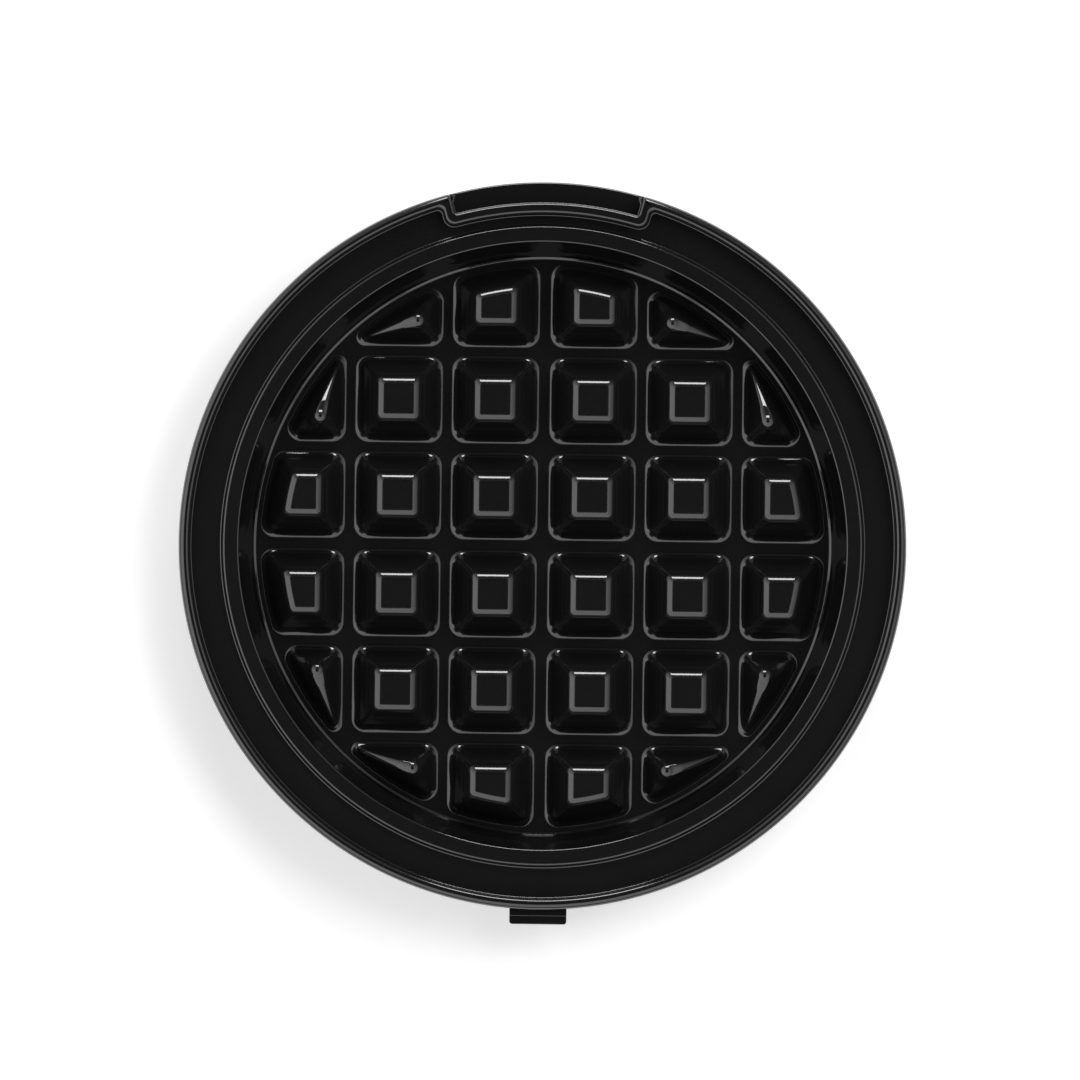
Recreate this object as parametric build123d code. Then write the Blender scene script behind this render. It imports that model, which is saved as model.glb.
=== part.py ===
from build123d import *
import math
import os

# Removable waffle plate: a round die-cast plate with a field of tapered pegs in a round cavity,
# a raised sealing ring, an overflow channel and an outer lip, with a catch ledge let into the
# rim on one side and a locating tongue on the other. Millimetres, +Z up.
# The origin is the centre of the underside, on the heater contact face. The catch ledge is at
# +Y and the tongue at -Y.

# Plan radii of the cooking face, from the outside in
RIM_RADIUS = 95.25
LIP_WIDTH = 2.6
RING_FOOT_RADIUS = 84.8
RING_TOP_RADIUS = 83.2
CAVITY_MOUTH_RADIUS = 79.8
CAVITY_FLOOR_RADIUS = 77.5
PEG_FIELD_RADIUS = 73.0

# Heights of the cooking face above the heater contact face
LIP_TOP = 18.5
RING_TOP = 16.3
PEG_TOP = 15.0
CORNER_PEG_TOP = 13.5
CHANNEL_FLOOR = 14.8
LEDGE_FLOOR = 14.0
FLANGE_UNDERSIDE = 11.5
CAVITY_FLOOR = 3.0

# Peg grid
PEG_PITCH = 25.3
CENTRE_PITCH = 25.7
PEG_BASE = 20.5
PEG_DRAFT_INSET = 4.85
OUTERMOST = 3

# Catch ledge and locating tongue
NOTCH_DIRECTION = 90.0
NOTCH_RADIUS = 89.7
NOTCH_HALF_ANGLE = 15.5
NOTCH_CORNER = 0.8
LIP_INNER_CORNER = 1.4
TONGUE_WIDTH = 15.0
TONGUE_REACH = 99.15
TONGUE_STEP_REACH = 97.0
TONGUE_ROOT_REACH = 94.0
TONGUE_TOP = 14.5
TONGUE_TIP_TOP = 13.8
TONGUE_CORNER = 0.8

# Bevels that soften the edges, measured back from the edge on each of its faces
PEG_BEVEL = 1.6
CORNER_PEG_BEVEL = 0.7
LIP_BEVEL = 0.95
CAVITY_FOOT_BEVEL = 1.8

# Wall of the casting and its release coating, which is drawn thicker than the real film
COATING = 0.25
PEG_ROOF = 2.8
PIT_MOUTH_INSET = 1.8
BOWL_WALL = 2.6

# Width that a bevel on a square edge loses for each millimetre that both faces are drawn in
SQUARE_EDGE_LOSS = 2 - math.sqrt(2)

# Reach of the cutting shapes past the plate, and how near a measured edge is to its place
CLEAR = 20.0
NEAR = 0.05
ON_FLOOR = (Align.CENTER, Align.CENTER, Align.MIN)
FROM_RIM = (Align.CENTER, Align.MAX, Align.MIN)
DRAFT_PER_HEIGHT = PEG_DRAFT_INSET / (PEG_TOP - CAVITY_FLOOR)


def is_corner(column, row):
    """The pegs beside the empty corners of the grid, which the round wall cuts to triangles."""
    return OUTERMOST in (column, row) and OUTERMOST - 1 in (column, row)


def peg_cells():
    """The pegs of one quarter of the plate. The cell in the corner of the grid is empty."""
    indices = range(1, OUTERMOST + 1)
    return [(c, r) for c in indices for r in indices if (c, r) != (OUTERMOST, OUTERMOST)]


def sides(index, inset):
    """Low and high side of a row or column of pegs, 1 being the nearest to the centre line."""
    centre = CENTRE_PITCH / 2 + (index - 1) * PEG_PITCH
    half = PEG_BASE / 2 - inset
    return centre - half, centre + half


def drafted_block(x_sides, y_sides, bottom, top):
    """A block between two heights, drawn in upwards on its four sides by the pegs' draft."""
    x_low, x_high = x_sides
    y_low, y_high = y_sides
    plan = Pos((x_low + x_high) / 2, (y_low + y_high) / 2) * Rectangle(x_high - x_low, y_high - y_low)
    draft_angle = math.degrees(math.atan(DRAFT_PER_HEIGHT))
    return Pos(0, 0, bottom) * extrude(plan, top - bottom, taper=draft_angle)


def round_wall(inset, bottom, top):
    """The drafted cone that cuts the outermost pegs."""
    radius = PEG_FIELD_RADIUS - inset
    height = top - bottom
    return Pos(0, 0, bottom) * Cone(radius, radius - height * DRAFT_PER_HEIGHT, height, align=ON_FLOOR)


def top_edges(solid):
    """The edges round a solid's highest face."""
    return solid.faces().sort_by(Axis.Z)[-1].edges()


def bevel(edges, setback, skin):
    """Bevels edges. Below a skin the bevel is narrower, so that the skin is even over it."""
    return chamfer(edges, setback - skin * SQUARE_EDGE_LOSS)


def peg(column, row, skin):
    """A peg, drawn in by the skin over it, with its top edges bevelled."""
    corner = is_corner(column, row)
    x_sides, y_sides = sides(column, skin), sides(row, skin)
    if corner:
        past_wall = PEG_FIELD_RADIUS + CLEAR
        x_sides, y_sides = (x_sides[0], past_wall), (y_sides[0], past_wall)
    bottom = CAVITY_FLOOR - skin
    top = (CORNER_PEG_TOP if corner else PEG_TOP) - skin
    solid = drafted_block(x_sides, y_sides, bottom, top)
    if OUTERMOST in (column, row):
        solid &= round_wall(skin, bottom, top)
    return bevel(top_edges(solid), CORNER_PEG_BEVEL if corner else PEG_BEVEL, skin)


def pit_sides(index, other):
    """Low and high side of a pit. The outermost pits stop flat, just inside the round wall."""
    low, high = sides(index, PIT_MOUTH_INSET)
    if index == OUTERMOST:
        far_side = sides(other, PIT_MOUTH_INSET)[1]
        high = math.sqrt((PEG_FIELD_RADIUS - PIT_MOUTH_INSET) ** 2 - far_side**2)
    return low, high


def pit(column, row):
    """The hollow behind a peg, open at the heater contact face."""
    return drafted_block(pit_sides(column, row), pit_sides(row, column), 0, PEG_TOP - PEG_ROOF)


def all_quarters(solids):
    """The solids of one quarter, mirrored to the whole plate."""
    half = solids + [mirror(s, Plane.YZ) for s in solids]
    return half + [mirror(s, Plane.XZ) for s in half]


def notch_sector():
    """Plan of the catch notch, from its wall outwards past the rim."""
    start = NOTCH_DIRECTION - NOTCH_HALF_ANGLE
    wall = CenterArc((0, 0), NOTCH_RADIUS, start, 2 * NOTCH_HALF_ANGLE)
    outside = CenterArc((0, 0), RIM_RADIUS + CLEAR, start, 2 * NOTCH_HALF_ANGLE)
    sides = [Line(wall @ 0, outside @ 0), Line(wall @ 1, outside @ 1)]
    return make_face([wall, outside] + sides)


def corners_at(plan, radius):
    """The corners of a plan that lie at a radius from the plate's centre."""
    return [v for v in plan.vertices() if abs(Vector(v).length - radius) < NEAR]


def rim_outline():
    """Plan of the rim: a disc with the catch notch let into it."""
    disc = Circle(RIM_RADIUS) - notch_sector()
    return fillet(corners_at(disc, NOTCH_RADIUS), NOTCH_CORNER)


def inside_lip(skin):
    """Plan of what lies inside the lip, which goes round the notch."""
    inset = LIP_WIDTH - skin
    plan = offset(rim_outline(), -inset, kind=Kind.ARC)
    return fillet(corners_at(plan, RIM_RADIUS - inset), LIP_INNER_CORNER)


def prism(plan, bottom, top):
    """A plan raised between two heights."""
    return Pos(0, 0, bottom) * extrude(plan, top - bottom)


def turned(points):
    """A solid of revolution about the plate's axis, from points of radius and height."""
    return revolve(Plane.XZ * make_face(Polyline(*points, close=True)), Axis.Z)


def rim(skin):
    """The rim with its lip and catch ledge, still solid across the middle."""
    top = LIP_TOP - skin
    radius = RIM_RADIUS - skin
    solid = prism(offset(rim_outline(), -skin, kind=Kind.ARC), 0, top)
    outer_edges = [e for e in top_edges(solid).filter_by(GeomType.CIRCLE) if abs(e.radius - radius) < NEAR]
    solid = bevel(outer_edges, LIP_BEVEL, skin)
    solid += prism(Circle(radius), 0, LEDGE_FLOOR - skin)
    return solid - prism(inside_lip(skin), CHANNEL_FLOOR - skin, top + CLEAR)


def sealing_ring(skin):
    """The raised ring round the cavity, on which the two plates of a pair close."""
    channel = CHANNEL_FLOOR - skin
    foot = RING_FOOT_RADIUS - skin
    points = [(0, CAVITY_FLOOR), (foot, CAVITY_FLOOR), (foot, channel)]
    points += [(RING_TOP_RADIUS - skin, RING_TOP - skin), (0, RING_TOP - skin)]
    return turned(points)


def cavity(skin):
    """The drafted round cavity that holds the pegs, with a bevelled foot."""
    floor = CAVITY_FLOOR - skin
    foot = CAVITY_FLOOR_RADIUS + skin
    mouth = CAVITY_MOUTH_RADIUS + skin
    slope = (mouth - foot) / (RING_TOP - floor)
    points = [(0, floor), (foot - CAVITY_FOOT_BEVEL, floor)]
    points += [(foot + CAVITY_FOOT_BEVEL * slope, floor + CAVITY_FOOT_BEVEL)]
    points += [(mouth, RING_TOP), (mouth, RING_TOP + CLEAR), (0, RING_TOP + CLEAR)]
    return turned(points)


def tongue_step(reach, top, skin):
    """One step of the tongue, from inside the rim to its reach."""
    length = reach - skin - TONGUE_ROOT_REACH
    block = Box(TONGUE_WIDTH - 2 * skin, length, top - skin - FLANGE_UNDERSIDE, align=FROM_RIM)
    return Pos(0, -TONGUE_ROOT_REACH, FLANGE_UNDERSIDE) * block


def tongue(skin):
    """The stepped tongue on the rim, opposite the catch ledge."""
    tip = tongue_step(TONGUE_REACH, TONGUE_TIP_TOP, skin)
    far_corners = tip.edges().filter_by(Axis.Z).sort_by(Axis.Y)[:2]
    return tongue_step(TONGUE_STEP_REACH, TONGUE_TOP, skin) + fillet(far_corners, TONGUE_CORNER)


def cooking_form(skin):
    """The whole plate from above, drawn in by a skin, with a plain solid underside."""
    solid = rim(skin) + sealing_ring(skin) - cavity(skin)
    solid += tongue(skin)
    solid += all_quarters([peg(c, r, skin) for c, r in peg_cells()])
    return solid


def under_flange():
    """The open space outside the bowl, below the flange that carries the channel and the lip."""
    bowl_foot = CAVITY_FLOOR_RADIUS + BOWL_WALL
    bowl_top = CAVITY_MOUTH_RADIUS + BOWL_WALL
    outside = RIM_RADIUS + CLEAR
    return turned([(bowl_foot, 0), (bowl_top, FLANGE_UNDERSIDE), (outside, FLANGE_UNDERSIDE), (outside, 0)])


def plate_casting():
    """The aluminium casting: the cooking form in bare metal, hollowed behind the larger pegs."""
    solid = cooking_form(COATING) - under_flange()
    solid -= all_quarters([pit(c, r) for c, r in peg_cells() if not is_corner(c, r)])
    return solid


def release_coating():
    """The non-stick coating over the cooking face, the rim's outside and the tongue."""
    return cooking_form(0) - cooking_form(COATING) - under_flange()


PARTS = {
    "plate_casting": plate_casting,
    "release_coating": release_coating,
}

os.makedirs("parts", exist_ok=True)
for name, make in PARTS.items():
    part = make()
    part.label = name
    print(name, "solids", len(part.solids()), "volume", round(part.volume))
    export_step(part, f"parts/{name}.step")
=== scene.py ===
import math

import bpy
import numpy as np
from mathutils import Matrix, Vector
from mathutils.geometry import delaunay_2d_cdt


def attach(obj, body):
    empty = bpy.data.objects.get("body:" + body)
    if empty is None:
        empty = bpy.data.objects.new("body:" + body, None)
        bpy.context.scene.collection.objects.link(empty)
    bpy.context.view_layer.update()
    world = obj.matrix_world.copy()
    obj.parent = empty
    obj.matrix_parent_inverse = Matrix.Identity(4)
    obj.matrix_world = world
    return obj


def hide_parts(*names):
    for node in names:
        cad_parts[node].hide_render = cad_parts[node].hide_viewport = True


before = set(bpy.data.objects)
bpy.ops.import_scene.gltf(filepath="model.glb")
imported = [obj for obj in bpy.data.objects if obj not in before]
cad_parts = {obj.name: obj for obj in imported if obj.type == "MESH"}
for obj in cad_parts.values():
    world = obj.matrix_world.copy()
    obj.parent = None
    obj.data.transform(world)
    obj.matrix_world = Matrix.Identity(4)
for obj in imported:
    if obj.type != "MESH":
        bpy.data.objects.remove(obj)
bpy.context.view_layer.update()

# Sizes in millimetres. Heights, pegs, notch and tongue are as in the part's source. The rim is a
# hair inside the source's, and the lip, ring and cavity foot lie where the photograph has their
# lines.
RIM_RADIUS = 95.245
LIP_WIDTH = 2.75
RING_OUTER_RADIUS = 83.93
RING_INNER_RADIUS = 79.6
CAVITY_DISH_RADIUS = 75.3
CAVITY_FOOT_RADIUS = 75.95
CAVITY_FOOT_RISE = 0.22
CAVITY_FLAT_REACH = 0.45
RING_SIDE_DRAFT = 0.06
CHANNEL_FLAT_RADIUS = 86.0
PEG_FIELD_RADIUS = 73.0
LIP_TOP = 18.5
RING_TOP = 16.3
PEG_TOP = 15.0
CHANNEL_FLOOR = 14.8
LEDGE_FLOOR = 14.0
FLANGE_UNDERSIDE = 11.5
CAVITY_FLOOR = 3.0
PEG_PITCH = 25.3
CENTRE_PITCH = 25.7
PEG_BASE = 20.5
PEG_SIDE_SLOPE = 12.0 / 4.85
TILT = math.atan(PEG_SIDE_SLOPE)
NOTCH_RADIUS = 89.7
NOTCH_HALF_ANGLE = math.radians(15.5)
TONGUE_WIDTH = 15.0
TONGUE_REACH = 99.15
TONGUE_STEP_REACH = 97.0
TONGUE_ROOT_REACH = 94.0
TONGUE_TOP = 14.5
TONGUE_TIP_TOP = 13.8
TONGUE_CORNER = 0.8
TONGUE_ROOT_CORNER = 0.1
TONGUE_EDGE = 0.15

# Roundings of the finished face
CAVITY_DISH_ROUND = 1.5
CAVITY_FOOT_ROUND = 0.15
RING_INNER_ROUND = 0.55
RING_OUTER_ROUND = 0.85
CHANNEL_FOOT_ROUND = 0.6
LIP_FOOT_ROUND = 0.4
LIP_INNER_ROUND = 1.0
LIP_OUTER_ROUND = 1.6
NOTCH_EDGE_ROUND = 0.7
NOTCH_FOOT_ROUND = 0.35
LEDGE_EDGE_ROUND = 0.5
PEG_FOOT_ROUND = 2.3
PEG_TOP_ROUND = 2.9
CORNER_PEG_ROUND = 2.3
CORNER_PEG_INRADIUS = 5.484
LEAST_ROUND = 0.001

# Corners of the pegs in plan, by the inset from the peg's base. They are wide at the foot, lose
# width until PLAN_NARROW and win some again towards the top, whose edge PLAN_TOP_EDGE begins.
PLAN_FOOT = 2.4
PLAN_LOSS = 1.6
PLAN_NARROW = 1.5
PLAN_GAIN = 1.0
PLAN_GAINS_OVER = 3.1
PLAN_TOP_EDGE = 4.6
PLAN_TOP = 1.8
PLAN_CLOSES = 0.72
# The same for a triangular peg's wide corners, which run together in one round point
POINTED_LOSS = 2.0
POINTED_MEETS_FROM = 0.8
POINTED_MEETS_OVER = 2.5
# The same for a triangular peg's acute corner
ACUTE_FOOT = 1.0
ACUTE_LOSS = 0.55
ACUTE_NARROW = 0.7
ACUTE_WIDENS = 0.3

# Corners of the lip in plan, beside the notch: the convex one, and the hollow one inside it
LIP_CORNER = 0.8
LIP_CORNER_GAIN = 0.6
LIP_HOLLOW = 0.8
LIP_HOLLOW_GAIN = 0.62
LIP_HOLLOW_LEAST = 0.3
LIP_DRAFT = 0.2
LIP_FOOT_REACH = 0.42
LIP_TOP_REACH = 1.66

# Underside of the casting
BOWL_FOOT_RADIUS = 80.1
BOWL_TOP_RADIUS = 82.4
BOWL_ROUND = 1.2
PIT_MOUTH_INSET = 1.8
PIT_TOP = 12.2
PIT_MOUTH_ROUND = 0.8
PIT_TOP_ROUND = 1.2

# The film over the casting, the gap between them, and how far both lie inside the rim's foot
FILM = 0.15
CORE_GAP = 0.03
FILM_FOOT_INSET = 0.3
CORE_FOOT_INSET = 0.35

# Step that the plan normals are measured over
NUDGE = 0.002


class Surface:
    """Points, their normals and the faces between them, in millimetres."""

    def __init__(self):
        self.points = []
        self.normals = []
        self.faces = []

    def add(self, point, normal):
        self.points.append(point)
        length = math.sqrt(normal[0] ** 2 + normal[1] ** 2 + normal[2] ** 2)
        self.normals.append((normal[0] / length, normal[1] / length, normal[2] / length))
        return len(self.points) - 1

    def strip(self, rows, flip=False):
        """Faces between rows of points that go round a closed path."""
        for low, high in zip(rows, rows[1:]):
            count = len(low)
            for i in range(count):
                j = (i + 1) % count
                face = (low[i], low[j], high[j], high[i])
                self.faces.append(face[::-1] if flip else face)

    def fill(self, outer, holes, up):
        """Triangles over the flat area between an outer loop of points and the loops inside it."""
        loops = [outer] + holes
        ids = [i for loop in loops for i in loop]
        flat = [Vector(self.points[i][:2]) for i in ids]
        edges = []
        start = 0
        for loop in loops:
            edges += [(start + k, start + (k + 1) % len(loop)) for k in range(len(loop))]
            start += len(loop)
        points, _, triangles, origin, _, _ = delaunay_2d_cdt(flat, edges, [], 0, 1e-7, True)
        back = [ids[o[0]] for o in origin]
        rings = [np.array([self.points[i][:2] for i in loop]) for loop in loops]
        for triangle in triangles:
            middle = sum((points[i] for i in triangle), Vector((0, 0))) / len(triangle)
            if not inside(middle, rings[0]) or any(inside(middle, r) for r in rings[1:]):
                continue
            a, b, c = (Vector(points[i]) for i in triangle)
            turn = (b - a).cross(c - a)
            face = tuple(back[i] for i in triangle)
            self.faces.append(face if (turn > 0) == up else face[::-1])

    def append(self, other, shift=0.0, flip=False):
        """Takes in another surface, moved along its normals. Returns its first point's number."""
        first = len(self.points)
        for p, n in zip(other.points, other.normals):
            self.points.append(tuple(p[k] + shift * n[k] for k in range(3)))
            self.normals.append(tuple(-n[k] for k in range(3)) if flip else n)
        for face in other.faces:
            moved = tuple(first + i for i in face)
            self.faces.append(moved[::-1] if flip else moved)
        return first

    def level_at_rim(self, row, inset):
        """Puts a row of points on the flange's underside, at an inset from the rim."""
        for i in row:
            nx, ny = unit(*self.points[i][:2])
            reach = RIM_RADIUS - inset
            self.points[i] = (reach * nx, reach * ny, FLANGE_UNDERSIDE)

    def to_object(self, name, flat=False):
        """A mesh object in metres, with the surface's normals or with flat faces."""
        mesh = bpy.data.meshes.new(name)
        mesh.from_pydata([tuple(0.001 * v for v in p) for p in self.points], [], self.faces)
        mesh.polygons.foreach_set("use_smooth", [not flat] * len(mesh.polygons))
        if not flat:
            mesh.normals_split_custom_set_from_vertices(self.normals)
        mesh.validate(clean_customdata=False)
        mesh.update()
        piece = bpy.data.objects.new(name, mesh)
        bpy.context.scene.collection.objects.link(piece)
        return piece


def inside(point, ring):
    """Is a point of the plan inside a loop of points?"""
    x, y = point[0], point[1]
    x0, y0 = ring[:, 0], ring[:, 1]
    x1, y1 = np.roll(x0, -1), np.roll(y0, -1)
    crossing = (y0 > y) != (y1 > y)
    with np.errstate(divide="ignore", invalid="ignore"):
        at = x0 + (y - y0) * (x1 - x0) / (y1 - y0)
    return bool(np.count_nonzero(crossing & (x < at)) % 2)


def unit(x, y):
    length = math.hypot(x, y)
    return x / length, y / length


def smooth(t):
    t = min(max(t, 0.0), 1.0)
    return t * t * (3 - 2 * t)


def rounded(points, radii, step, side=1):
    """A profile with rounded corners, as (u, v, normal u, normal v). The normal is on the left of
    the way along it, or on the right where side is -1. Step is the most degrees between points."""
    out = []

    def normal(direction):
        return -direction[1] * side, direction[0] * side

    count = len(points)
    ways = [unit(b[0] - a[0], b[1] - a[1]) for a, b in zip(points, points[1:])]
    out.append((*points[0], *normal(ways[0])))
    for i in range(1, count - 1):
        a, b = ways[i - 1], ways[i]
        turn = math.atan2(a[0] * b[1] - a[1] * b[0], a[0] * b[0] + a[1] * b[1])
        radius = radii[i - 1]
        reach = radius * math.tan(abs(turn) / 2)
        bend = 1 if turn > 0 else -1
        start = (points[i][0] - a[0] * reach, points[i][1] - a[1] * reach)
        centre = (start[0] - a[1] * radius * bend, start[1] + a[0] * radius * bend)
        steps = max(2, math.ceil(abs(math.degrees(turn)) / step))
        for k in range(steps + 1):
            angle = math.atan2(a[1], a[0]) + turn * k / steps
            way = (math.cos(angle), math.sin(angle))
            place = (centre[0] + way[1] * radius * bend, centre[1] - way[0] * radius * bend)
            out.append((*place, *normal(way)))
    out.append((*points[-1], *normal(ways[-1])))
    return out


def widening(here, near):
    """How far an outline moves along its normal for each millimetre that its inset changes."""
    moved = (near[0] - here[0]) * here[2] + (near[1] - here[1]) * here[3]
    return max(abs(moved) / NUDGE, 0.05)


def turn_profile(surface, profile, count, flip=False):
    """A surface of revolution from a profile of radius and height. Returns its rows of points."""
    rows = []
    for r, z, nr, nz in profile:
        row = []
        for k in range(count):
            angle = 2 * math.pi * k / count
            c, s = math.cos(angle), math.sin(angle)
            row.append(surface.add((r * c, r * s, z), (nr * c, nr * s, nz)))
        rows.append(row)
    surface.strip(rows, flip)
    return rows


# Outlines of the pegs, drawn in from their base


class Cell:
    """Plan of one peg, or of the pit behind it: its sides in counter-clockwise order, each with its
    outward direction and its distance from the middle, or \"wall\" where the round wall cuts it."""

    def __init__(self, column, row, mirror_x, mirror_y, pit=False):
        half = PEG_BASE / 2
        x = CENTRE_PITCH / 2 + (column - 1) * PEG_PITCH
        y = CENTRE_PITCH / 2 + (row - 1) * PEG_PITCH
        right, top = (1, 0, x + half), (0, 1, y + half)
        left, bottom = (-1, 0, half - x), (0, -1, half - y)
        self.corner = {column, row} == {2, 3}
        if self.corner:
            self.sides = ["wall", left, bottom]
        elif column == 3:
            self.sides = ["wall", top, left, bottom]
        elif row == 3:
            self.sides = [right, "wall", left, bottom]
        else:
            self.sides = [right, top, left, bottom]
        if pit and "wall" in self.sides:
            far_side = min(x, y) + half - PIT_MOUTH_INSET
            reach = PEG_FIELD_RADIUS - PIT_MOUTH_INSET
            flat = math.sqrt(reach**2 - far_side**2) + PIT_MOUTH_INSET
            outward = (1, 0, flat) if column == 3 else (0, 1, flat)
            self.sides[self.sides.index("wall")] = outward
        self.mirror = (mirror_x, mirror_y)
        self.acute = None
        if self.corner:
            self.acute = 0 if column == 3 else 2

    def corner_centre(self, index, inset):
        """The point at an inset from the two sides that meet in a corner."""
        one, two = self.sides[index], self.sides[(index + 1) % len(self.sides)]
        if "wall" not in (one, two):
            determinant = one[0] * two[1] - one[1] * two[0]
            a, b = one[2] - inset, two[2] - inset
            return (a * two[1] - b * one[1]) / determinant, (one[0] * b - two[0] * a) / determinant
        line = two if one == "wall" else one
        away = line[2] - inset
        along = math.sqrt((PEG_FIELD_RADIUS - inset) ** 2 - away**2)
        if line[0]:
            return line[0] * away, along
        return along, line[1] * away

    def outline(self, inset, radius_of, arc_steps, side_steps):
        """Points of the outline and their plan normals, without the mirroring."""
        count = len(self.sides)
        arcs = []
        for i in range(count):
            radius = radius_of(self, i, inset)
            cx, cy = self.corner_centre(i, inset + radius)
            ends = []
            for side in (self.sides[i], self.sides[(i + 1) % count]):
                ends.append(math.atan2(cy, cx) if side == "wall" else math.atan2(side[1], side[0]))
            sweep = (ends[1] - ends[0]) % (2 * math.pi)
            arc = []
            for k in range(arc_steps + 1):
                angle = ends[0] + sweep * k / arc_steps
                n = (math.cos(angle), math.sin(angle))
                arc.append((cx + radius * n[0], cy + radius * n[1], *n))
            arcs.append(arc)
        out = []
        for i in range(count):
            out += arcs[i]
            side = self.sides[(i + 1) % count]
            a, b = arcs[i][-1], arcs[(i + 1) % count][0]
            for k in range(1, side_steps):
                t = k / side_steps
                if side == "wall":
                    start = math.atan2(a[1], a[0])
                    angle = start + t * (math.atan2(b[1], b[0]) - start)
                    n = (math.cos(angle), math.sin(angle))
                    reach = PEG_FIELD_RADIUS - inset
                    out.append((reach * n[0], reach * n[1], *n))
                else:
                    at = (a[0] + t * (b[0] - a[0]), a[1] + t * (b[1] - a[1]))
                    out.append((*at, side[0], side[1]))
        return out

    def rows(self, surface, profile, radius_of, arc_steps, side_steps, up):
        """Rows of points up a peg or pit, from a profile of inset and height."""
        mx, my = self.mirror
        rows = []
        for inset, z, nu, nz in profile:
            here = self.outline(inset, radius_of, arc_steps, side_steps)
            near = self.outline(inset - NUDGE, radius_of, arc_steps, side_steps)
            row = []
            for a, b in zip(here, near):
                normal = (-nu * a[2] * mx, -nu * a[3] * my, nz * widening(a, b))
                row.append(surface.add((a[0] * mx, a[1] * my, z), normal))
            rows.append(row)
        surface.strip(rows, flip=(mx * my > 0) != up)
        return rows

    def lid(self, row, up):
        """The flat face inside a row of points, turned up or down."""
        counter_clockwise = self.mirror[0] * self.mirror[1] > 0
        return tuple(row) if counter_clockwise == up else tuple(row[::-1])


def cells(pit=False):
    """All the pegs, or all the pits behind them. The cells in the corners of the grid are empty."""
    out = []
    for column in (1, 2, 3):
        for row in (1, 2, 3):
            if (column, row) != (3, 3):
                out += [Cell(column, row, mx, my, pit) for mx in (1, -1) for my in (1, -1)]
    return out


def peg_corner_radius(cell, index, inset):
    """How round a peg's corner is in plan, at an inset from the peg's base."""
    full = CORNER_PEG_INRADIUS - inset
    if cell.corner and index == cell.acute:
        if inset <= 0:
            return ACUTE_FOOT - inset
        radius = ACUTE_FOOT - ACUTE_LOSS * smooth(inset / ACUTE_NARROW)
        radius += ACUTE_WIDENS * max(inset - ACUTE_NARROW, 0)
        return max(min(radius, full), LEAST_ROUND)
    if inset <= 0:
        return PLAN_FOOT - inset
    narrowed = smooth(inset / PLAN_NARROW)
    if cell.corner:
        radius = PLAN_FOOT - POINTED_LOSS * narrowed
        share = smooth((inset - POINTED_MEETS_FROM) / POINTED_MEETS_OVER)
        return max(radius + share * (full - radius), LEAST_ROUND)
    if inset < PLAN_TOP_EDGE:
        regained = smooth((inset - PLAN_NARROW) / PLAN_GAINS_OVER)
        return PLAN_FOOT - PLAN_LOSS * narrowed + PLAN_GAIN * regained
    return PLAN_TOP - PLAN_CLOSES * (inset - PLAN_TOP_EDGE)


def pit_corner_radius(cell, index, inset):
    """How round a pit's corner is in plan, which is the same for all of them."""
    return max(2.6 - 0.3 * inset, 0.8)


def peg_profile(corner, step):
    """Inset and height up a peg's side, with the foot and top rounded."""
    reach = math.tan(TILT / 2)
    if corner:
        radius = CORNER_PEG_ROUND
        end = CORNER_PEG_INRADIUS + 0.01
        top = CAVITY_FLOOR + PEG_SIDE_SLOPE * (CORNER_PEG_INRADIUS - radius * reach)
    else:
        radius = PEG_TOP_ROUND
        end = (PEG_TOP - CAVITY_FLOOR) / PEG_SIDE_SLOPE + radius * reach + 0.02
        top = PEG_TOP
    edge = (top - CAVITY_FLOOR) / PEG_SIDE_SLOPE
    start = -PEG_FOOT_ROUND * reach - 0.02
    points = [(start, CAVITY_FLOOR), (0, CAVITY_FLOOR), (edge, top), (end, top)]
    profile = rounded(points, [PEG_FOOT_ROUND, radius], step)
    if corner:
        # the outline closes here, so the last points give way to a very small flat
        profile = profile[:-2]
        profile.append((CORNER_PEG_INRADIUS - 0.02, top, 0, 1))
    return densify(profile, 0.7 if step < 15 else 2.0)


def densify(profile, longest):
    """More points on the straight runs of a profile, so that changing corners stay smooth."""
    out = [profile[0]]
    for a, b in zip(profile, profile[1:]):
        pieces = max(1, math.ceil(abs(b[0] - a[0]) / longest))
        for k in range(1, pieces + 1):
            t = k / pieces
            if k < pieces:
                out.append(tuple(a[i] + t * (b[i] - a[i]) for i in range(4)))
        out.append(b)
    return out


def peg_field(surface, outer, fine):
    """The cavity floor with its pegs, inside an outer loop of points."""
    step, arc_steps, side_steps = (9, 7, 4) if fine else (24, 3, 2)
    holes = []
    for cell in cells():
        extra = 2 if cell.corner and fine else 1
        profile = peg_profile(cell.corner, step)
        rows = cell.rows(surface, profile, peg_corner_radius, arc_steps * extra, side_steps, True)
        holes.append(rows[0])
        surface.faces.append(cell.lid(rows[-1], True))
    surface.fill(outer, holes, True)


# The path of the lip: round the rim, and in round the notch


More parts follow.
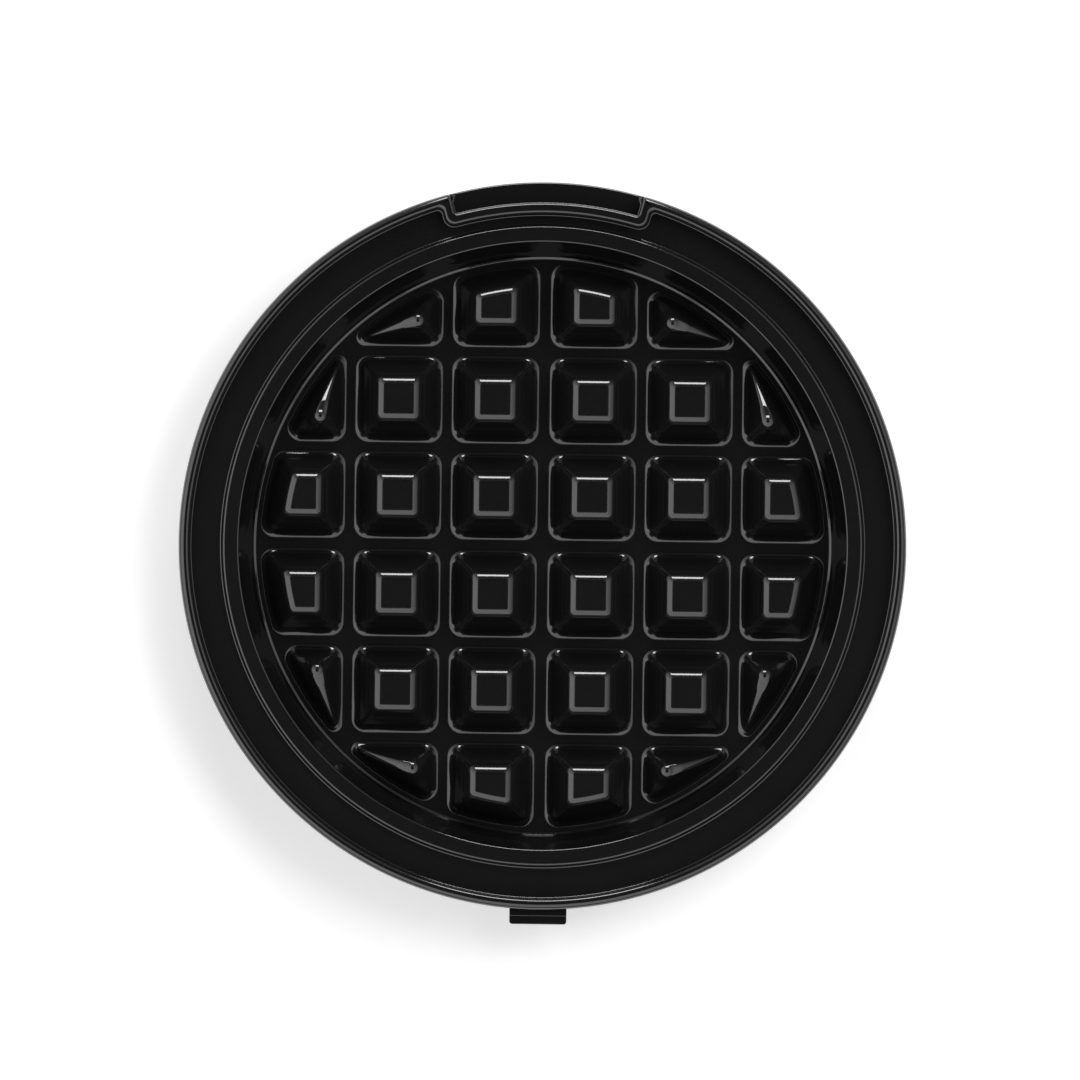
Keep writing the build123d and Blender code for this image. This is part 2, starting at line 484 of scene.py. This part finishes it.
def lip_path(inset, counts):
    """Half of the lip's outline at an inset from its outer edge, from the tongue's side at -Y to
    the middle of the notch at +Y. Each point has its plan normal, and how far it belongs to the
    notch: 0 on the rim and 1 in the notch."""
    rim_steps, corner_steps, side_steps, notch_steps = counts
    side_angle = math.pi / 2 - NOTCH_HALF_ANGLE
    along = (math.cos(side_angle), math.sin(side_angle))
    across = (math.sin(side_angle), -math.cos(side_angle))

    def place(a, b):
        return a * along[0] + b * across[0], a * along[1] + b * across[1]

    convex = LIP_CORNER + LIP_CORNER_GAIN * smooth(inset / LIP_WIDTH)
    concave = max(LIP_HOLLOW + LIP_HOLLOW_GAIN * inset, LIP_HOLLOW_LEAST)
    away = inset + convex
    reach = RIM_RADIUS - inset - convex
    outer_centre = place(math.sqrt(reach**2 - away**2), away)
    away = inset - concave
    reach = NOTCH_RADIUS - inset + concave
    inner_centre = place(math.sqrt(reach**2 - away**2), away)

    out = []
    leave = math.atan2(outer_centre[1], outer_centre[0])
    radius = RIM_RADIUS - inset
    for k in range(rim_steps):
        angle = -math.pi / 2 + (leave + math.pi / 2) * k / rim_steps
        n = (math.cos(angle), math.sin(angle))
        out.append((radius * n[0], radius * n[1], *n, 0.0))
    end = math.atan2(-across[1], -across[0]) % (2 * math.pi)
    for k in range(corner_steps + 1):
        angle = leave + (end - leave) * k / corner_steps
        n = (math.cos(angle), math.sin(angle))
        at = (outer_centre[0] + convex * n[0], outer_centre[1] + convex * n[1])
        out.append((*at, *n, k / corner_steps / 2))
    first = out[-1][:2]
    facing = math.atan2(inner_centre[1], inner_centre[0])
    corner = []
    for k in range(corner_steps + 1):
        angle = end + (facing - end) * k / corner_steps
        n = (math.cos(angle), math.sin(angle))
        corner.append((inner_centre[0] - concave * n[0], inner_centre[1] - concave * n[1], *n, 1.0))
    last = corner[0][:2]
    for k in range(1, side_steps):
        t = k / side_steps
        at = (first[0] + t * (last[0] - first[0]), first[1] + t * (last[1] - first[1]))
        out.append((*at, -across[0], -across[1], min(0.5 + t, 1.0)))
    out += corner
    radius = NOTCH_RADIUS - inset
    start = math.atan2(corner[-1][1], corner[-1][0])
    for k in range(1, notch_steps + 1):
        angle = start + (math.pi / 2 - start) * k / notch_steps
        n = (math.cos(angle), math.sin(angle))
        out.append((radius * n[0], radius * n[1], *n, 1.0))
    return out


def whole_path(inset, counts):
    """The lip's outline all the way round, counter-clockwise from the middle of the -Y side."""
    half = lip_path(inset, counts)
    other = [(-x, y, -nx, ny, w) for x, y, nx, ny, w in half[1:-1]]
    return half + other[::-1]


def lip_rows(surface, counts, step):
    """The lip from its inner foot to its outer wall. Returns its first and last rows of points, and
    the path of its outer edge."""
    inner = rounded(
        [
            (-LIP_WIDTH - LIP_FOOT_ROUND - LIP_FOOT_REACH, CHANNEL_FLOOR),
            (-LIP_WIDTH - LIP_DRAFT, CHANNEL_FLOOR),
            (-LIP_WIDTH, LIP_TOP),
            (-LIP_TOP_REACH, LIP_TOP),
        ],
        [LIP_FOOT_ROUND, LIP_INNER_ROUND],
        step,
    )
    rows = []
    for u, z, nu, nz in inner:
        here = whole_path(-u, counts)
        near = whole_path(-u - NUDGE, counts)
        row = []
        for a, b in zip(here, near):
            normal = (nu * a[2], nu * a[3], nz * widening(a, b))
            row.append(surface.add((a[0], a[1], z), normal))
        rows.append(row)
    edge = whole_path(0, counts)
    steps = max(3, round(90 / step))
    for j in range(steps + 1):
        angle = math.pi / 2 * j / steps
        c, s = math.cos(angle), math.sin(angle)
        row = []
        for x, y, nx, ny, w in edge:
            radius = LIP_OUTER_ROUND + smooth(2 * w) * (NOTCH_EDGE_ROUND - LIP_OUTER_ROUND)
            back = radius * (1 - s)
            z = LIP_TOP - radius * (1 - c)
            row.append(surface.add((x - back * nx, y - back * ny, z), (s * nx, s * ny, c)))
        rows.append(row)
    for j in range(4):
        angle = math.pi / 2 * j / 3
        row = []
        for x, y, nx, ny, w in edge:
            share = smooth(2 * w - 1)
            out = share * NOTCH_FOOT_ROUND * (1 - math.cos(angle))
            z = LEDGE_FLOOR + NOTCH_FOOT_ROUND * (1 - math.sin(angle))
            c, s = 1 + share * (math.cos(angle) - 1), share * math.sin(angle)
            row.append(surface.add((x + out * nx, y + out * ny, z), (c * nx, c * ny, s)))
        rows.append(row)
    surface.strip(rows, flip=True)
    return rows[0], rows[-1], edge


def outer_wall(surface, lip_edge, edge, counts):
    """The ledge in the notch and the rim's outer wall below it, whose top edge is rounded along the
    ledge only. Returns the lowest row of points."""
    in_notch = [i for i, p in enumerate(edge) if p[4] > 0]
    first_in, last_in = in_notch[0], in_notch[-1]
    a, b = edge[first_in - 1], edge[last_in + 1]
    start, end = math.atan2(a[1], a[0]), math.atan2(b[1], b[0])
    arc_steps = 2 * counts[3]
    path = [(p[0], p[1], 0.0) for p in edge[:first_in]]
    for k in range(1, arc_steps):
        angle = start + (end - start) * k / arc_steps
        fade = smooth(min(k, arc_steps - k) / arc_steps * 16)
        path.append((RIM_RADIUS * math.cos(angle), RIM_RADIUS * math.sin(angle), fade))
    tail = len(path)
    path += [(p[0], p[1], 0.0) for p in edge[last_in + 1:]]
    rows = []
    steps = 5
    for j in range(steps + 1):
        angle = math.pi / 2 * j / steps
        row = []
        for i, (x, y, w) in enumerate(path):
            nx, ny = unit(x, y)
            if j == 0 and w == 0:
                source = i if i < tail else i - tail + last_in + 1
                row.append(lip_edge[source])
                continue
            back = w * LEDGE_EDGE_ROUND * (1 - math.sin(angle))
            z = LEDGE_FLOOR - LEDGE_EDGE_ROUND * (1 - math.cos(angle))
            sideways = math.sin(angle) + 0.001
            normal = (sideways * nx, sideways * ny, math.cos(angle) * w)
            row.append(surface.add((x - back * nx, y - back * ny, z), normal))
        rows.append(row)
    # the easing at the foot of the rim's outer wall, as inset, height and downward tilt
    for back, rise, tilt in ((0, 0.25, 0), (0.032, 0.06, 0.7), (0.1, 0, 0.95)):
        z = FLANGE_UNDERSIDE + rise
        row = []
        for x, y, _ in path:
            nx, ny = unit(x, y)
            row.append(surface.add((x - back * nx, y - back * ny, z), (nx, ny, -tilt)))
        rows.append(row)
    surface.strip(rows, flip=True)
    # the ledge is the flat area between the notch's wall and the row along the rim
    wall = [lip_edge[i] for i in range(first_in - 1, last_in + 2)]
    along_rim = rows[0][first_in: tail]
    surface.fill(wall + along_rim[::-1], [], True)
    return rows[-1]


def cooking_surface(fine):
    """The finished face from the middle of the cavity out to the foot of the rim's outer wall."""
    surface = Surface()
    count = 336 if fine else 120
    step = 9 if fine else 24
    counts = (200, 8, 8, 34) if fine else (72, 3, 3, 12)
    profile = rounded(
        [
            (CAVITY_DISH_RADIUS - CAVITY_FLAT_REACH, CAVITY_FLOOR),
            (CAVITY_DISH_RADIUS, CAVITY_FLOOR),
            (CAVITY_FOOT_RADIUS, CAVITY_FLOOR + CAVITY_FOOT_RISE),
            (RING_INNER_RADIUS, RING_TOP),
            (RING_OUTER_RADIUS, RING_TOP),
            (RING_OUTER_RADIUS + RING_SIDE_DRAFT, CHANNEL_FLOOR),
            (CHANNEL_FLAT_RADIUS, CHANNEL_FLOOR),
        ],
        [
            CAVITY_DISH_ROUND,
            CAVITY_FOOT_ROUND,
            RING_INNER_ROUND,
            RING_OUTER_ROUND,
            CHANNEL_FOOT_ROUND,
        ],
        step,
    )
    rows = turn_profile(surface, profile, count, flip=True)
    peg_field(surface, rows[0], fine)
    lip_foot, lip_edge, edge = lip_rows(surface, counts, step)
    surface.fill(lip_foot, [rows[-1]], True)
    bottom = outer_wall(surface, lip_edge, edge, counts)
    return surface, bottom


def underside(surface, outer):
    """The casting from below: flange, bowl, contact face and the pits behind the larger pegs."""
    profile = rounded(
        [
            (RIM_RADIUS - 0.6, FLANGE_UNDERSIDE),
            (BOWL_TOP_RADIUS, FLANGE_UNDERSIDE),
            (BOWL_FOOT_RADIUS, 0),
            (BOWL_FOOT_RADIUS - 3, 0),
        ],
        [BOWL_ROUND, BOWL_ROUND],
        15,
    )
    rows = turn_profile(surface, profile, 240, flip=True)
    surface.fill(outer, [rows[0]], False)
    draft = PIT_TOP / PEG_SIDE_SLOPE
    mouth = rounded(
        [
            (PIT_MOUTH_INSET - 1.0, 0),
            (PIT_MOUTH_INSET, 0),
            (PIT_MOUTH_INSET + draft, PIT_TOP),
            (PIT_MOUTH_INSET + draft + 1.4, PIT_TOP),
        ],
        [PIT_MOUTH_ROUND, PIT_TOP_ROUND],
        18,
        side=-1,
    )
    holes = []
    for cell in cells(pit=True):
        if cell.corner:
            continue
        pit = cell.rows(surface, mouth, pit_corner_radius, 4, 2, False)
        holes.append(pit[0])
        surface.faces.append(cell.lid(pit[-1], False))
    surface.fill(rows[-1], holes, False)


def tongue_step(name, reach, top, corner):
    """A step of the tongue, with its far corners rounded in plan and its top edge eased."""
    step = Surface()
    rows = []
    eased = 0.3 * TONGUE_EDGE
    edge = [(0, top - TONGUE_EDGE), (eased, top - eased), (TONGUE_EDGE, top)]
    for inset, height in [(0, FLANGE_UNDERSIDE)] + edge:
        side = TONGUE_WIDTH / 2 - inset
        radius = max(corner - inset, 0.02)
        row = [step.add((x, -TONGUE_ROOT_REACH, height), (0, 1, 0)) for x in (side, -side)]
        for turned in (0, 1):
            for k in range(9):
                angle = math.pi + math.pi / 2 * (turned + k / 8)
                x = (side - radius) * (2 * turned - 1) + radius * math.cos(angle)
                y = radius - reach + inset + radius * math.sin(angle)
                row.append(step.add((x, y, height), (math.cos(angle), math.sin(angle), 0)))
        rows.append(row)
    step.strip(rows)
    step.faces.append(tuple(rows[-1]))
    step.faces.append(tuple(rows[0][::-1]))
    return step.to_object(name, flat=True)


# Materials


def node(tree, kind, **settings):
    made = tree.nodes.new(kind)
    for key, value in settings.items():
        if key in made.inputs:
            made.inputs[key].default_value = value
        else:
            setattr(made, key, value)
    return made


def new_material(name):
    """A material with one principled shader: it, its nodes, the shader and the object's space."""
    material = bpy.data.materials.new(name)
    material.use_nodes = True
    tree = material.node_tree
    tree.nodes.clear()
    shader = tree.nodes.new("ShaderNodeBsdfPrincipled")
    output = tree.nodes.new("ShaderNodeOutputMaterial")
    tree.links.new(shader.outputs[0], output.inputs["Surface"])
    place = tree.nodes.new("ShaderNodeTexCoord")
    return material, tree, shader, place.outputs["Object"]


def ramp(tree, source, low, high, low_at=0.0, high_at=1.0):
    made = tree.nodes.new("ShaderNodeMapRange")
    made.inputs["From Min"].default_value = low_at
    made.inputs["From Max"].default_value = high_at
    made.inputs["To Min"].default_value = low
    made.inputs["To Max"].default_value = high
    tree.links.new(source, made.inputs["Value"])
    return made.outputs["Result"]


def noise(tree, place, scale, detail=2.0):
    made = node(tree, "ShaderNodeTexNoise", Scale=scale, Detail=detail)
    tree.links.new(place, made.inputs["Vector"])
    return made.outputs["Fac"]


def colour_mix(tree, factor, dark, light):
    made = tree.nodes.new("ShaderNodeMix")
    made.data_type = "RGBA"
    made.inputs["A"].default_value = (*dark, 1)
    made.inputs["B"].default_value = (*light, 1)
    tree.links.new(factor, made.inputs["Factor"])
    return made.outputs["Result"]


def bump(tree, height, strength, distance, under=None):
    made = node(tree, "ShaderNodeBump", Strength=strength, Distance=distance)
    tree.links.new(height, made.inputs["Height"])
    if under is not None:
        tree.links.new(under, made.inputs["Normal"])
    return made.outputs["Normal"]


def release_material():
    """Glossy black baked coating, with a slight orange peel and fine specks."""
    material, tree, shader, place = new_material("black_release_coating")
    mottle = noise(tree, place, 60, 3)
    specks = noise(tree, place, 1500, 2)
    black = colour_mix(tree, mottle, (0.0064, 0.0064, 0.0067), (0.0084, 0.0084, 0.0088))
    tree.links.new(black, shader.inputs["Base Color"])
    tree.links.new(ramp(tree, specks, 0.10, 0.2, 0.3, 0.7), shader.inputs["Roughness"])
    peel = bump(tree, noise(tree, place, 420, 2), 0.12, 0.0001)
    tree.links.new(bump(tree, specks, 0.08, 0.00003, peel), shader.inputs["Normal"])
    shader.inputs["IOR"].default_value = 1.6
    shader.inputs["Coat Weight"].default_value = 1.0
    shader.inputs["Coat IOR"].default_value = 1.62
    shader.inputs["Coat Roughness"].default_value = 0.08
    return material


def casting_material():
    """Bare cast aluminium: a satin skin, slightly cloudy, with a fine cast grain."""
    material, tree, shader, place = new_material("cast_aluminium")
    cloud = noise(tree, place, 35, 4)
    grain = noise(tree, place, 1100, 3)
    metal = colour_mix(tree, cloud, (0.47, 0.47, 0.48), (0.6, 0.6, 0.61))
    tree.links.new(metal, shader.inputs["Base Color"])
    tree.links.new(ramp(tree, cloud, 0.36, 0.52, 0.3, 0.7), shader.inputs["Roughness"])
    shader.inputs["Metallic"].default_value = 1.0
    tree.links.new(bump(tree, grain, 0.35, 0.00006), shader.inputs["Normal"])
    return material


# The two pieces of the plate

finished, finished_foot = cooking_surface(True)
hidden, hidden_foot = cooking_surface(False)

film = Surface()
film.append(finished)
first = film.append(hidden, -FILM, flip=True)
inner_foot = [first + i for i in hidden_foot]
film.level_at_rim(inner_foot, FILM_FOOT_INSET)
film.fill(finished_foot, [inner_foot], False)
coating = film.to_object("release_coating_film")

core = Surface()
core.append(hidden, -FILM - CORE_GAP)
core.level_at_rim(hidden_foot, CORE_FOOT_INSET)
underside(core, hidden_foot)
casting = core.to_object("plate_casting_body")

coating.data.materials.append(release_material())
casting.data.materials.append(casting_material())

tongue_steps = [
    tongue_step("tongue_root", TONGUE_STEP_REACH, TONGUE_TOP, TONGUE_ROOT_CORNER),
    tongue_step("tongue_tip", TONGUE_REACH, TONGUE_TIP_TOP, TONGUE_CORNER),
]
for block in tongue_steps:
    block.data.materials.append(coating.data.materials[0])

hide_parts("release_coating")
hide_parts("plate_casting")
for piece in [coating, casting] + tongue_steps:
    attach(piece, "root")

# Floor, backdrop and light

# A hair below the plate, so that the two don't share a plane
FLOOR_LEVEL = -0.0001
FLOOR_HALF = 3
FLOOR_GLOW = 0.39

# Levels of the walls of light, and the heights between which they begin and end, as the
# cosine of the angle from straight up
WALL_LEFT, WALL_FRONT, WALL_BACK = 1.06, 0.92, 0.05
WALL_RIGHT_HIGH, WALL_RIGHT_LOW = 0.85, 0.04
OVERHEAD = 0.02
BELOW_WALLS = 0.1
CAP_STARTS, CAP_FULL = 0.9135, 0.9455
HORIZON_DARK, HORIZON_LIT = 0.16, 0.27
FRONT_RISE = 0.12
SECOND_MIRRORING = 0.15


def math_node(tree, operation, a, b=None, c=None):
    made = tree.nodes.new("ShaderNodeMath")
    made.operation = operation
    for socket, value in zip(made.inputs, (a, b, c)):
        if value is None:
            continue
        if isinstance(value, (int, float)):
            socket.default_value = value
        else:
            tree.links.new(value, socket)
    return made.outputs[0]


def floor_material():
    """White paint, lifted to the photograph's white for the camera and for mirrored rays only."""
    material = bpy.data.materials.new("white_floor")
    material.use_nodes = True
    tree = material.node_tree
    tree.nodes.clear()
    diffuse = node(tree, "ShaderNodeBsdfDiffuse", Color=(0.8, 0.8, 0.8, 1))
    glow = node(tree, "ShaderNodeEmission", Color=(1, 1, 1, 1))
    path = tree.nodes.new("ShaderNodeLightPath").outputs
    mirrored = math_node(tree, "ADD", path["Is Glossy Ray"], path["Is Transmission Ray"])
    seen = math_node(tree, "ADD", path["Is Camera Ray"], mirrored)
    tree.links.new(math_node(tree, "MULTIPLY", seen, FLOOR_GLOW), glow.inputs["Strength"])
    both = tree.nodes.new("ShaderNodeAddShader")
    output = tree.nodes.new("ShaderNodeOutputMaterial")
    tree.links.new(diffuse.outputs[0], both.inputs[0])
    tree.links.new(glow.outputs[0], both.inputs[1])
    tree.links.new(both.outputs[0], output.inputs["Surface"])
    return material


def floor_object():
    mesh = bpy.data.meshes.new("floor")
    corners = [(-1, -1), (1, -1), (1, 1), (-1, 1)]
    points = [(x * FLOOR_HALF, y * FLOOR_HALF, FLOOR_LEVEL) for x, y in corners]
    mesh.from_pydata(points, [], [(0, 1, 2, 3)])
    mesh.materials.append(floor_material())
    made = bpy.data.objects.new("floor", mesh)
    bpy.context.scene.collection.objects.link(made)
    return made


def later_mirrorings_dimmed(tree):
    """1 where the light reaches the eye by one mirroring, and less after a second one, which the
    photograph's deep blacks swallow."""
    path = tree.nodes.new("ShaderNodeLightPath")
    once = math_node(tree, "LESS_THAN", path.outputs["Ray Depth"], 2.5)
    return math_node(tree, "MULTIPLY_ADD", once, 1 - SECOND_MIRRORING, SECOND_MIRRORING)


def studio_world():
    """Soft walls of light round the plate, with next to nothing overhead and little behind it."""
    world = bpy.data.worlds.new("studio")
    world.use_nodes = True
    tree = world.node_tree
    tree.nodes.clear()

    def maths(operation, *values):
        return math_node(tree, operation, *values)

    place = tree.nodes.new("ShaderNodeTexCoord")
    parts = tree.nodes.new("ShaderNodeSeparateXYZ")
    tree.links.new(place.outputs["Generated"], parts.inputs[0])
    x, y, z = parts.outputs
    flat = maths("ADD", maths("MULTIPLY", x, x), maths("MULTIPLY", y, y))
    share = maths("DIVIDE", maths("MULTIPLY", x, x), maths("MAXIMUM", flat, 0.0001))
    left = maths("LESS_THAN", x, 0.0)
    front = maths("LESS_THAN", y, 0.0)
    right = maths("MULTIPLY_ADD", z, WALL_RIGHT_HIGH - WALL_RIGHT_LOW, WALL_RIGHT_LOW)
    sides = maths("MULTIPLY_ADD", left, maths("SUBTRACT", WALL_LEFT, right), right)
    ends = maths("MULTIPLY_ADD", front, WALL_FRONT - WALL_BACK, WALL_BACK)
    rest = maths("SUBTRACT", 1.0, share)
    walls = maths("ADD", maths("MULTIPLY", sides, share), maths("MULTIPLY", ends, rest))
    cap = smooth_step(tree, z, CAP_STARTS, CAP_FULL, 1.0, OVERHEAD)
    risen = maths("MULTIPLY_ADD", y, FRONT_RISE, z)
    horizon = smooth_step(tree, risen, HORIZON_DARK, HORIZON_LIT, BELOW_WALLS, 1.0)
    level = maths("MULTIPLY", maths("MULTIPLY", walls, cap), horizon)
    level = maths("MULTIPLY", level, later_mirrorings_dimmed(tree))
    background = node(tree, "ShaderNodeBackground", Color=(1, 1, 1, 1))
    output = tree.nodes.new("ShaderNodeOutputWorld")
    tree.links.new(level, background.inputs["Strength"])
    tree.links.new(background.outputs[0], output.inputs["Surface"])
    return world


def smooth_step(tree, value, low_at, high_at, low, high):
    """From low to high between two values, softly."""
    made = tree.nodes.new("ShaderNodeMapRange")
    made.interpolation_type = "SMOOTHSTEP"
    made.inputs["From Min"].default_value = low_at
    made.inputs["From Max"].default_value = high_at
    made.inputs["To Min"].default_value = low
    made.inputs["To Max"].default_value = high
    tree.links.new(value, made.inputs["Value"])
    return made.outputs["Result"]


def softbox(name, azimuth, elevation, distance, width, height, power, mirrored=True):
    """A soft area lamp that looks at the plate, from azimuth 0 at +X or 90 at +Y."""
    lamp = bpy.data.lights.new(name, "AREA")
    lamp.shape = "RECTANGLE"
    lamp.size, lamp.size_y = width, height
    lamp.energy = power
    made = bpy.data.objects.new(name, lamp)
    a, e = math.radians(azimuth), math.radians(elevation)
    away = Vector((math.cos(a) * math.cos(e), math.sin(a) * math.cos(e), math.sin(e)))
    made.location = away * distance
    made.rotation_euler = away.to_track_quat("Z", "Y").to_euler()
    made.visible_glossy = mirrored
    bpy.context.scene.collection.objects.link(made)
    return made


floor_object()
bpy.context.scene.world = studio_world()
softbox("key", 35, 46, 1.6, 0.95, 0.95, 14, mirrored=False)
strip = softbox("strip_back", 90, 28.5, 1.6, 0.92, 0.5, 9.6)
strip.data.use_nodes = True
strip_tree = strip.data.node_tree
emission = strip_tree.nodes["Emission"]
strip_tree.links.new(later_mirrorings_dimmed(strip_tree), emission.inputs["Strength"])

# Camera: straight down, with the plate a little clockwise in the picture. The photograph is
# PIXELS wide and shows FRAME_WIDTH metres at the height of the plate's upper edges.
HEIGHT = 3.0
EDGES_AT = 0.016
PIXELS = 1080
FRAME_WIDTH = 0.2827
CENTRE = (542.5, 545.85)
ROLL = math.radians(0.72)
camera_data = bpy.data.cameras.new("camera")
camera = bpy.data.objects.new("camera", camera_data)
bpy.context.scene.collection.objects.link(camera)
bpy.context.scene.camera = camera
camera_data.sensor_width = 36
camera_data.lens = 36 * (HEIGHT - EDGES_AT) / FRAME_WIDTH
camera_data.clip_end = 20
right_of, below = ((c - PIXELS / 2) * FRAME_WIDTH / PIXELS for c in CENTRE)
camera.rotation_euler = (0, 0, ROLL)
camera.location = (
    -right_of * math.cos(ROLL) - below * math.sin(ROLL),
    -right_of * math.sin(ROLL) + below * math.cos(ROLL),
    HEIGHT,
)

bpy.context.scene.view_settings.view_transform = "Standard"
